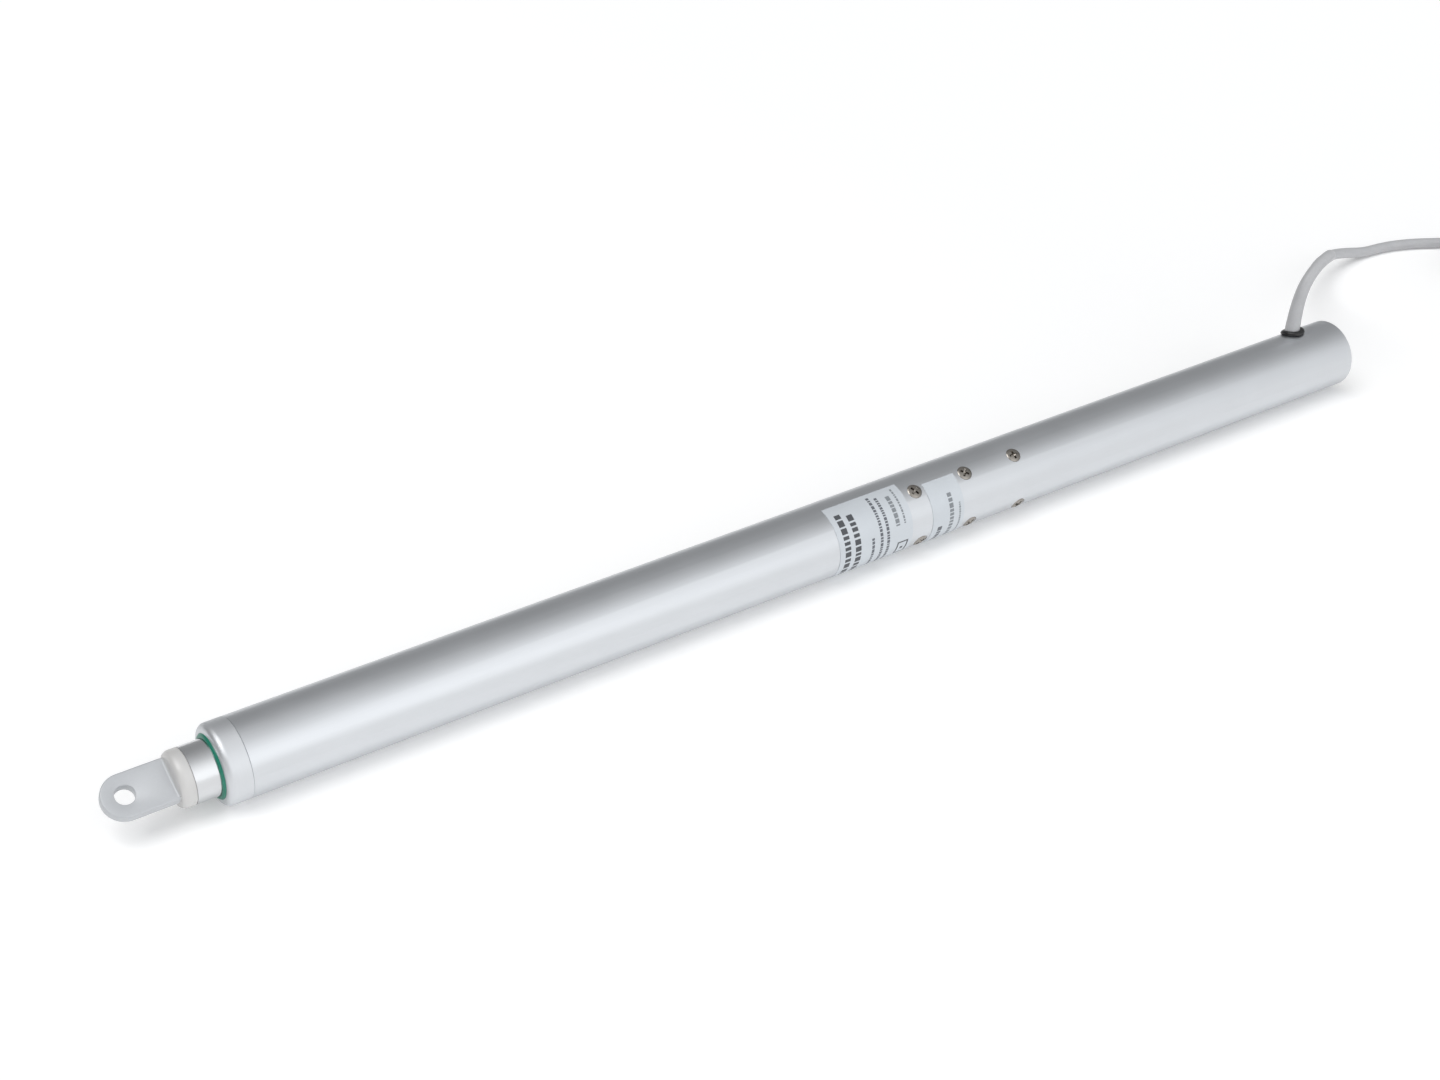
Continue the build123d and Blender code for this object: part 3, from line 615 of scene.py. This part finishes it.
def make_tie(number, centre, angle):
    """A strap round the coil's section, with its head on the outside."""
    bm = bmesh.new()
    out = Vector((math.cos(angle), math.sin(angle), 0))
    along = Vector((-out.y, out.x, 0))
    path = tie_path()
    rings = []
    for index, point in enumerate(path):
        before, after = path[index - 1], path[(index + 1) % len(path)]
        tangent = Vector((after[0] - before[0], after[1] - before[1])).normalized()
        lift = Vector((tangent.y, -tangent.x)) * TIE_THICKNESS
        ring = []
        for side, level in ((-1, 0), (1, 0), (1, 1), (-1, 1)):
            across, height = Vector(point) + lift * level
            # The outer face is a little narrower, and nothing reaches below the floor.
            aside = along * TIE_WIDTH / 2 * side * (1 - 0.12 * level)
            raised = Vector((0, 0, max(0.02 * MM, height)))
            ring.append(bm.verts.new(centre + out * across + raised + aside))
        rings.append(ring)
    for index, ring in enumerate(rings):
        bridge(bm, ring, rings[(index + 1) % len(rings)])
    head = bmesh.ops.create_cube(bm, size=1.0)["verts"]
    turn = Matrix((out, along, Vector((0, 0, 1)))).transposed().to_4x4()
    place = centre + out * (TIE_FAR + 1.3 * MM) + Vector((0, 0, COIL_TOP * 0.55))
    size = Matrix.Diagonal((*TIE_HEAD, 1))
    bmesh.ops.transform(bm, matrix=Matrix.Translation(place) @ turn @ size, verts=head)
    edges = [edge for edge in bm.edges if all(end in head for end in edge.verts)]
    bmesh.ops.bevel(bm, geom=edges, offset=0.5 * MM, segments=2, affect="EDGES")
    return new_piece(f"coil_tie_{number}", bm, "grey_cable", HOUSING, 35, "nylon_tie")


# Distance along the ferrule and its radius, in millimetres: a plastic collar, then the crimped pin.
FERRULE_PROFILE = [
    (-2.5, 0), (-2.5, 1.05), (0.0, 1.0), (0.4, 0.8), (1.0, 0.62), (5.2, 0.6), (5.4, 0.45), (5.4, 0)
]
LEAD_RADIUS = 0.85 * MM
LEAD_LENGTH = 14 * MM
LEAD_SPACING = 1.6 * MM
LEAD_SPREAD = 3.4 * MM
LEAD_DROP = 1.95 * MM


def make_leads(end, ahead):
    """Three insulated conductors that fan out of the cable's end, each in a crimped ferrule."""
    across = Vector((-ahead.y, ahead.x, 0))
    made = []
    for side, finish in ((-1, "blue_core"), (0, "lead_cores"), (1, "brown_core")):
        start = end - ahead * MM + across * LEAD_SPACING * side
        points = []
        for step in range(13):
            share = step / 12
            fan = across * share**2 * LEAD_SPREAD * side
            drop = Vector((0, 0, LEAD_DROP * min(1.0, share * 1.5) ** 2))
            points.append(start + ahead * LEAD_LENGTH * share + fan - drop)
        bm = bmesh.new()
        tube_along(bm, points, [LEAD_RADIUS] * len(points), 16)
        made.append(new_piece(f"lead_core_{side + 2}", bm, "lead_cores", HOUSING, 40, finish))
        bm = bmesh.new()
        lathe(bm, points[-1], points[-1] - points[-2], in_metres(FERRULE_PROFILE), 20)
        name = f"lead_ferrule_{side + 2}"
        made.append(new_piece(name, bm, "lead_cores", HOUSING, 30, "ferrule_tin"))
    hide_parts("lead_ends")
    return made


def make_cable():
    points, centre, heading, inward = cable_line()
    data = nurbs_curve("flying_cable", points, CABLE_RADIUS)
    cable = bpy.data.objects.new("flying_cable", data)
    bpy.context.scene.collection.objects.link(cable)
    data.materials.append(materials["grey_cable"])
    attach(cable, HOUSING)
    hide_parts("cable", "cable_coil", "cable_end")
    line = spline_points(points)
    sleeve = make_sleeve(line)
    facing = math.atan2(heading.y, heading.x)
    for number, turn in ((1, 65), (2, 245)):
        make_tie(number, centre, facing + math.radians(turn))
    leads = make_leads(points[-1], (points[-1] - points[-2]).normalized())


make_cable()

# ---- Grommet ----

# Distance from the tube's axis and radius round the cable, in millimetres.
GROMMET_PROFILE = [
    (14.60, 3.15), (14.60, 5.20), (14.75, 5.75), (15.10, 5.95), (15.50, 5.75), (15.85, 5.00),
    (15.95, 4.55), (18.00, 4.55), (18.02, 5.30), (18.15, 5.85), (18.45, 6.20), (18.90, 6.35),
    (19.40, 6.25), (19.85, 5.90), (20.12, 5.40), (20.20, 4.90), (20.10, 4.45), (19.80, 4.15),
    (19.30, 4.00), (18.60, 3.95), (18.40, 3.15),
]


def make_grommet():
    """The rubber ring in the tube's cable hole, whose two flanges follow the round wall."""
    station, across, height = cable_route[0]
    centre = at(station)
    outwards = Vector((0, across, height - axis_height)).normalized()
    bm = bmesh.new()
    lathe(bm, centre, outwards, in_metres(GROMMET_PROFILE), 72, closed=True)
    sideways = Vector((1, 0, 0)).cross(outwards)
    for vertex in bm.verts:
        aside = (vertex.co - centre).dot(sideways)
        vertex.co -= outwards * (tube_radius - math.sqrt(tube_radius**2 - aside**2))
    piece = new_piece("cable_grommet_ring", bm, "black_rubber", HOUSING, 40)
    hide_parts("cable_grommet")


make_grommet()

# ---- Screws ----

SCREW_STATIONS = (-347.0, -378.0, -409.0)
SCREW_ANGLES = (58.5, 148.5, 238.5, -31.5)
# Distance from the tube's axis and radius, in millimetres: tip, shank, cone, rim and raised head.
SCREW_PROFILE = [
    (12.40, 0.0), (12.40, 1.70), (12.70, 1.95), (15.95, 1.95), (16.25, 2.15), (17.30, 3.35),
    (17.42, 3.55), (17.58, 3.68), (17.72, 3.70), (17.84, 3.62), (17.98, 3.35), (18.12, 2.95),
    (18.25, 2.45), (18.34, 1.90), (18.40, 1.30), (18.43, 0.65), (18.44, 0.0),
]
# Distance from the tube's axis, half length and half width of each wedge's sections, downwards.
RECESS_SECTIONS = [(18.9, 2.65, 0.62), (18.2, 2.25, 0.56), (17.5, 1.75, 0.47), (16.95, 0.70, 0.38)]


def recess_cutter():
    """Two crossed wedges with sloping ends, the hole that a cross-tip driver fits."""
    bm = bmesh.new()
    for turn in (45, -45):
        along = Vector((math.cos(math.radians(turn)), math.sin(math.radians(turn)), 0))
        aside = Vector((-along.y, along.x, 0))
        rings = []
        for height, half_length, half_width in RECESS_SECTIONS:
            corners = []
            for end, side in ((-1, -1), (1, -1), (1, 1), (-1, 1)):
                flat = along * half_length * end + aside * half_width * side
                corners.append(bm.verts.new((flat + Vector((0, 0, height))) * MM))
            rings.append(corners)
        for first, second in zip(rings, rings[1:]):
            bridge(bm, first, second)
        close_ends(bm, rings)
    bmesh.ops.recalc_face_normals(bm, faces=bm.faces)
    return bm


def carved(solid, cutter):
    """The mesh of one object less another. Both objects are removed."""
    cut = solid.modifiers.new("recess", "BOOLEAN")
    cut.operation = "DIFFERENCE"
    cut.solver = "EXACT"
    cut.use_self = True
    cut.object = cutter
    bpy.context.view_layer.update()
    evaluated = solid.evaluated_get(bpy.context.evaluated_depsgraph_get())
    mesh = bpy.data.meshes.new_from_object(evaluated)
    bpy.data.objects.remove(solid)
    bpy.data.objects.remove(cutter)
    return mesh


def make_screws():
    """Three rings of raised countersunk screws, one carved screw repeated twelve times."""
    bm = bmesh.new()
    lathe(bm, Vector(), Vector((0, 0, 1)), in_metres(SCREW_PROFILE), 56)
    bmesh.ops.recalc_face_normals(bm, faces=bm.faces)
    screw = carved(mesh_object("screw_blank", bm), mesh_object("screw_recess", recess_cutter()))
    rng = random.Random(11)
    ahead = Vector((1, 0, 0))
    bm = bmesh.new()
    for station in SCREW_STATIONS:
        for angle in SCREW_ANGLES:
            out = outward(angle)
            turn = Matrix((ahead, out.cross(ahead), out)).transposed().to_4x4()
            spin = Matrix.Rotation(rng.uniform(0, math.tau), 4, "Z")
            place = Matrix.Translation(at(station * MM)) @ turn @ spin
            before = len(bm.verts)
            bm.from_mesh(screw)
            bm.verts.ensure_lookup_table()
            bmesh.ops.transform(bm, matrix=place, verts=bm.verts[before:])
    bpy.data.meshes.remove(screw)
    piece = new_piece("screw_set", bm, "bright_screws", HOUSING, 28)
    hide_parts("housing_screws")


make_screws()

# ---- Rod eye ----

# Stations and sizes in millimetres. The tongue's faces are measured above the long axis, along the
# direction at TONGUE_ANGLE.
EYE_FACE = 28.0
EYE_CENTRE = 47.7
EYE_RADIUS = 9.9
EYE_BORE = 4.25
BORE_BEVEL = 0.3
TONGUE_LOW = -0.9
TONGUE_HIGH = 3.9
TONGUE_ROUND = 0.8
TONGUE_ROOT = 26.5
TONGUE_ANGLE = 58.5
SHOULDER_RADIUS = 12.5
SHOULDER_LENGTH = 3.0
SHOULDER_DROP = 2.6
FILLET_RADIUS = 1.1
FILLET_SUNK = 0.4
FILLET_HALF_WIDTH = 9.0
# Station and radius of the eye's round end: spigot in the push tube, seam, then the shoulder.
COLLAR_PROFILE = [
    (5.0, 0.0), (5.0, 9.6), (5.4, 10.0), (21.75, 10.0), (21.75, 12.2), (21.95, 12.42),
    (22.25, SHOULDER_RADIUS), (EYE_FACE - SHOULDER_LENGTH, SHOULDER_RADIUS),
]


def quarter(turn):
    """One minus the sine and one minus the cosine of a turn in degrees, for a rounded edge."""
    return 1 - math.sin(math.radians(turn)), 1 - math.cos(math.radians(turn))


def eye_place(station, aside, above):
    """A point of the eye from its station and its place across and above the axis, in millimetres."""
    up = outward(TONGUE_ANGLE)
    side = up.cross(Vector((1, 0, 0)))
    return at(station * MM) + (side * aside + up * above) * MM


def tongue_outline(inset, spokes):
    """Points round the tongue, a rectangle with a round end, by direction from the bore's centre."""
    half = EYE_RADIUS - inset
    points = []
    for angle in spokes:
        ahead, aside = math.cos(angle), math.sin(angle)
        distance = half
        if ahead < 0:
            to_side = half / max(1e-9, abs(aside))
            to_root = (EYE_CENTRE - TONGUE_ROOT) / -ahead
            distance = min(to_side, to_root)
        points.append((EYE_CENTRE + ahead * distance, aside * distance))
    return points


def tongue_spokes():
    """Directions from the bore's centre, over the sides and the round end, then over the root."""
    corner = math.atan2(EYE_RADIUS - TONGUE_ROUND / 2, TONGUE_ROOT - EYE_CENTRE)
    front = [corner * (2 * step / 72 - 1) for step in range(73)]
    behind = [corner + (math.tau - 2 * corner) * step / 16 for step in range(1, 16)]
    return front + behind


def add_tongue(bm):
    """The flat tongue: the bore's wall, one face with its rounded edge, then the other face."""
    spokes = tongue_spokes()
    rings = []

    def ring(points, above):
        rings.append([bm.verts.new(eye_place(station, aside, above)) for station, aside in points])

    def bore(radius, above):
        ring([(EYE_CENTRE + radius * math.cos(a), radius * math.sin(a)) for a in spokes], above)

    bore(EYE_BORE, TONGUE_LOW + BORE_BEVEL)
    bore(EYE_BORE, TONGUE_HIGH - BORE_BEVEL)
    bore(EYE_BORE + 0.1, TONGUE_HIGH - 0.1)
    bore(EYE_BORE + BORE_BEVEL, TONGUE_HIGH)
    for side, level, turns in ((1, TONGUE_HIGH, range(0, 91, 15)), (-1, TONGUE_LOW, range(90, -1, -15))):
        for turn in turns:
            inset, drop = quarter(turn)
            outline = tongue_outline(TONGUE_ROUND * inset, spokes)
            ring(outline, level - side * TONGUE_ROUND * drop)
    bore(EYE_BORE + BORE_BEVEL, TONGUE_LOW)
    bore(EYE_BORE + 0.1, TONGUE_LOW + 0.1)
    for first, second in zip(rings, rings[1:] + rings[:1]):
        bridge(bm, first, second)


def add_root_fillet(bm, level, side):
    """A hollow fillet between one face of the tongue and the flat face behind it."""
    behind, below = EYE_FACE - FILLET_SUNK, level - side * FILLET_SUNK
    profile = [(behind, below), (EYE_FACE + FILLET_RADIUS, below)]
    for turn in range(0, 91, 15):
        across, rise = quarter(turn)
        profile.append((EYE_FACE + FILLET_RADIUS * across, level + side * FILLET_RADIUS * rise))
    profile.append((behind, level + side * FILLET_RADIUS))
    rings = []
    for aside in (-FILLET_HALF_WIDTH, FILLET_HALF_WIDTH):
        rings.append([bm.verts.new(eye_place(station, aside, above)) for station, above in profile])
    bridge(bm, *rings)
    close_ends(bm, rings)


def warm_shoulder():
    """The eye's round shoulder is coloured lighter and warmer than its cast tongue."""
    tree = materials["cast_eye"].node_tree
    base = tree.nodes["Principled BSDF"].inputs["Base Color"]
    edge = at(EYE_FACE * MM).x
    share = ranged(tree, separated(tree, "Object")["X"], 0.0, 1.0, edge, edge + 0.4 * MM)
    # The shoulder's colour: a lighter, warmer grey, gently mottled, mixed in ahead of the tongue's face.
    turned = mixed(tree, noise_value(tree, 120), (0.60, 0.592, 0.582), (0.65, 0.643, 0.635))
    tree.links.new(mixed(tree, share, turned, base.links[0].from_socket), base)


def make_eye():
    """The rod eye: a round shoulder on a spigot, and a flat tongue with a bored, rounded end."""
    bm = bmesh.new()
    profile = list(COLLAR_PROFILE)
    for turn in range(15, 91, 15):
        short, inwards = quarter(turn)
        profile.append((EYE_FACE - SHOULDER_LENGTH * short, SHOULDER_RADIUS - SHOULDER_DROP * inwards))
    profile.append((EYE_FACE, 0.0))
    lathe(bm, at(0), Vector((1, 0, 0)), in_metres(profile), 96)
    add_tongue(bm)
    add_root_fillet(bm, TONGUE_HIGH, 1)
    add_root_fillet(bm, TONGUE_LOW, -1)
    warm_shoulder()
    piece = new_piece("rod_eye_casting", bm, "cast_eye", "rod", 35)
    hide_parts("rod_eye")


make_eye()

# ---- Label print ----

FILM = 0.12 * MM
PRINT_BITE = 0.05 * MM
PRINT_RISE = 0.025 * MM


def stamp(bm, rear, front, low, high):
    """A thin raised block on a label, between two stations in millimetres and two angles."""
    steps = max(1, round(math.radians(high - low) * tube_radius / (0.7 * MM)))
    rings = []
    for step in range(steps + 1):
        angle = low + (high - low) * step / steps
        ring = []
        for rise, ends in ((-PRINT_BITE, (rear, front)), (PRINT_RISE, (front, rear))):
            for station in ends:
                ring.append(bm.verts.new(at(station * MM, angle, tube_radius + FILM + rise)))
        rings.append(ring)
    for first, second in zip(rings, rings[1:]):
        bridge(bm, first, second)
    close_ends(bm, rings)


def stamp_row(bm, rng, middle, height, high, low, word, gap):
    """Blocks of uneven length that run down round the tube as a row of print does.

    middle is the row's station and height its width, word and gap are mean lengths, in millimetres.
    """
    per_mm = math.degrees(MM / tube_radius)
    angle = high
    while angle > low:
        length = word * rng.uniform(0.55, 1.45)
        end = max(low, angle - length * per_mm)
        if angle - end > 0.3 * per_mm:
            stamp(bm, middle - height / 2, middle + height / 2, end, angle)
        angle = end - gap * rng.uniform(0.8, 1.2) * per_mm


def stamp_frame(bm, rear, front, low, high, line):
    """A plain rectangular outline with a dot in it."""
    per_mm = math.degrees(MM / tube_radius)
    stamp(bm, rear, rear + line, low, high)
    stamp(bm, front - line, front, low, high)
    stamp(bm, rear + line, front - line, low, low + line * per_mm)
    stamp(bm, rear + line, front - line, high - line * per_mm, high)
    middle, level = (rear + front) / 2, (low + high) / 2
    stamp(bm, middle - line, middle + line, level - line * per_mm, level + line * per_mm)


# Each row: station, width, highest and lowest angle, mean length of a block and of a gap.
BOLD_ROWS = [(-301.3, 3.3, 65, -50, 2.8, 1.0), (-307.3, 3.3, 59, -50, 2.4, 1.0)]
SMALL_ROWS = [
    (-316.2, 1.5, 12, -62, 1.5, 0.45),
    (-321.3, 1.6, 75, -62, 1.3, 0.45),
    (-325.2, 1.6, 70, -62, 1.3, 0.45),
    (-357.2, 2.6, -12, -60, 2.0, 0.6),
]
FAINT_ROWS = [
    (-331.4, 2.3, 66, 17, 1.8, 0.5),
    (-335.6, 1.0, 76, 16, 1.0, 0.4),
    (-364.0, 2.4, 38, -60, 1.9, 0.6),
    (-369.0, 1.0, 19, -60, 0.9, 0.4),
]


def make_print():
    """Greeked rows in place of the labels' wording, in three weights of ink."""
    rng = random.Random(7)
    for name, rows, finish in (
        ("label_print_bold", BOLD_ROWS, "print_ink"),
        ("label_print_small", SMALL_ROWS, "small_ink"),
        ("label_print_faint", FAINT_ROWS, "faint_ink"),
    ):
        bm = bmesh.new()
        for row in rows:
            stamp_row(bm, rng, *row)
        if finish == "print_ink":
            stamp_frame(bm, -337.6, -331.2, -41, -12, 0.8)
        new_piece(name, bm, "label_film", HOUSING, 30, finish)


make_print()

# ---- Floor ----

FLOOR_REACH = 60.0
# The floor lies just under z = 0, so that nothing that rests on it flickers with it.
FLOOR_DROP = 0.05 * MM


def make_floor():
    """A white floor with a weak glow of its own, a little stronger towards the eye's end."""
    bm = bmesh.new()
    bmesh.ops.create_grid(bm, x_segments=8, y_segments=8, size=FLOOR_REACH)
    floor = mesh_object("floor", bm)
    floor.location.z = -FLOOR_DROP
    material = bpy.data.materials.new("floor")
    material.use_nodes = True
    tree = material.node_tree
    shader = tree.nodes["Principled BSDF"]
    shader.inputs["Base Color"].default_value = (0.93, 0.93, 0.93, 1)
    shader.inputs["Roughness"].default_value = 0.7
    shader.inputs["Specular IOR Level"].default_value = 0.0
    shader.inputs["Emission Color"].default_value = (1.0, 1.0, 1.0, 1)
    glow = ranged(tree, separated(tree, "Object")["X"], 0.13, 0.19, -0.35, 0.25)
    tree.links.new(glow, shader.inputs["Emission Strength"])
    floor.data.materials.append(material)


make_floor()
